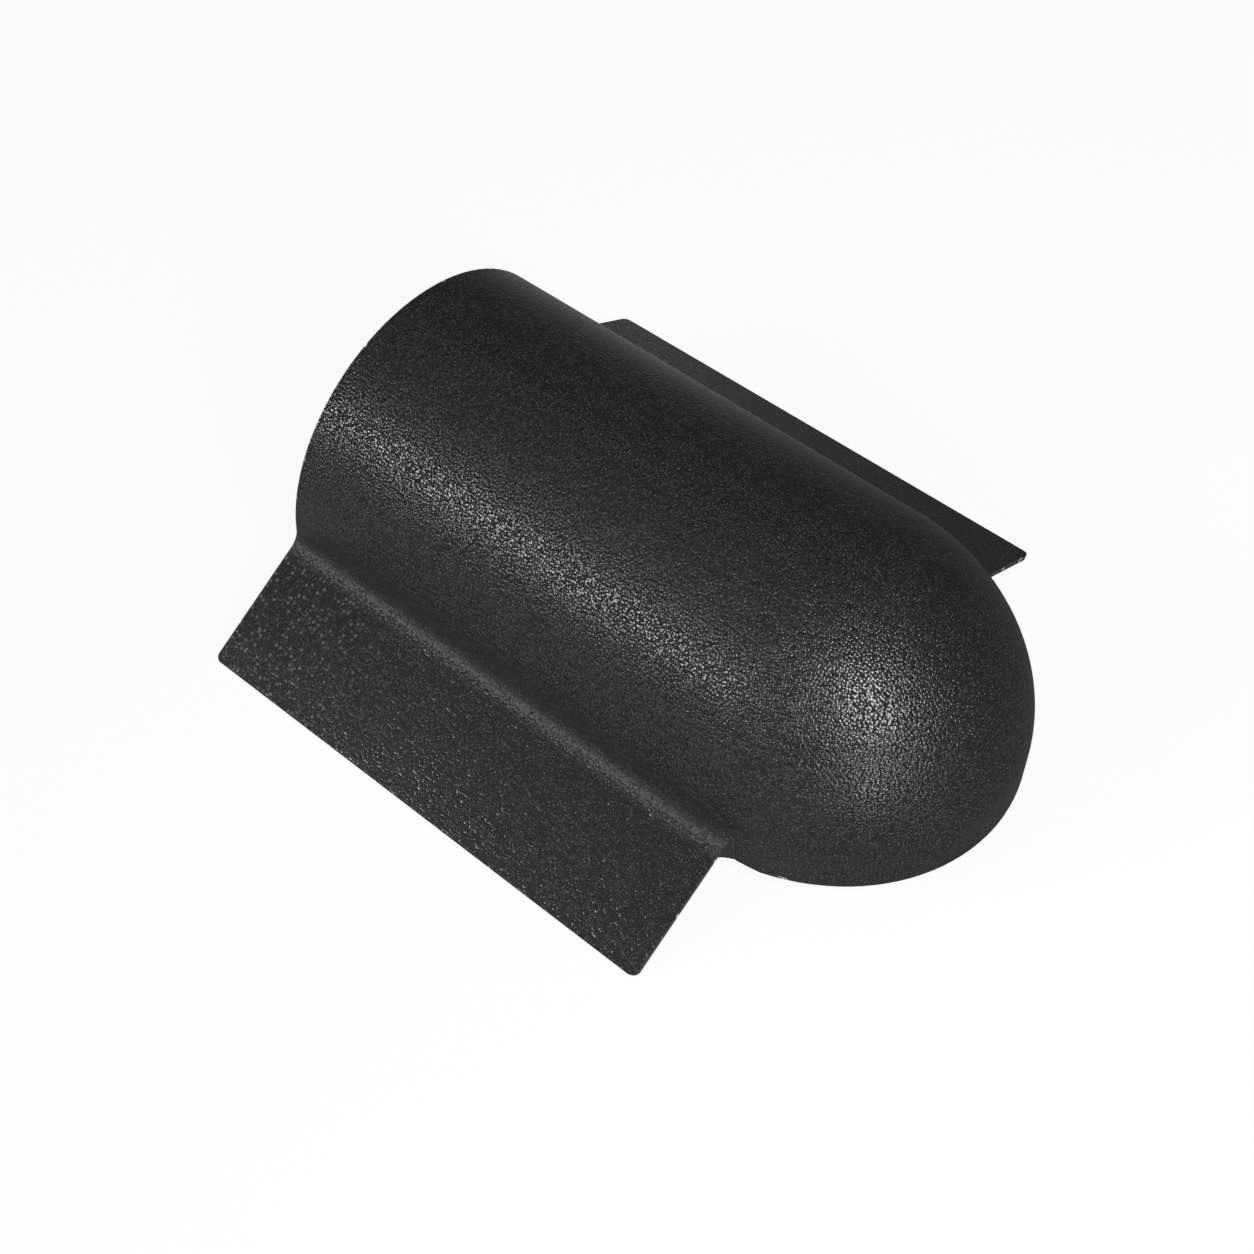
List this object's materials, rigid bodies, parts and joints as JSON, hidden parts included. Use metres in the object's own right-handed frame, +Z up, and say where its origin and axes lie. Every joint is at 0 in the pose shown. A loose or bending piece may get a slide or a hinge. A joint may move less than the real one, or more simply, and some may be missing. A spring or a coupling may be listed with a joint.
{
  "type": "hip end cap",
  "caption": "Hip end cap for a roof, formed from black grained plastic sheet: half-round barrel, open behind and closed by a dome in front, with flat sloping side flanges.",
  "frame": {"origin": "on the floor that the flanges' outer edges rest on, at the middle of the overall length and width", "axes": "+X along the barrel from its open end towards the dome, +Y to the left seen from the open end, +Z up"},
  "size_m": [0.283, 0.2514, 0.1033],
  "materials": {
    "black_plastic": "black, pebble grain and a dull sheen outside, plain and smooth inside"
  },
  "bodies": {
    "root": {"hip_end_cap": "black_plastic"}
  },
  "joints": []
}
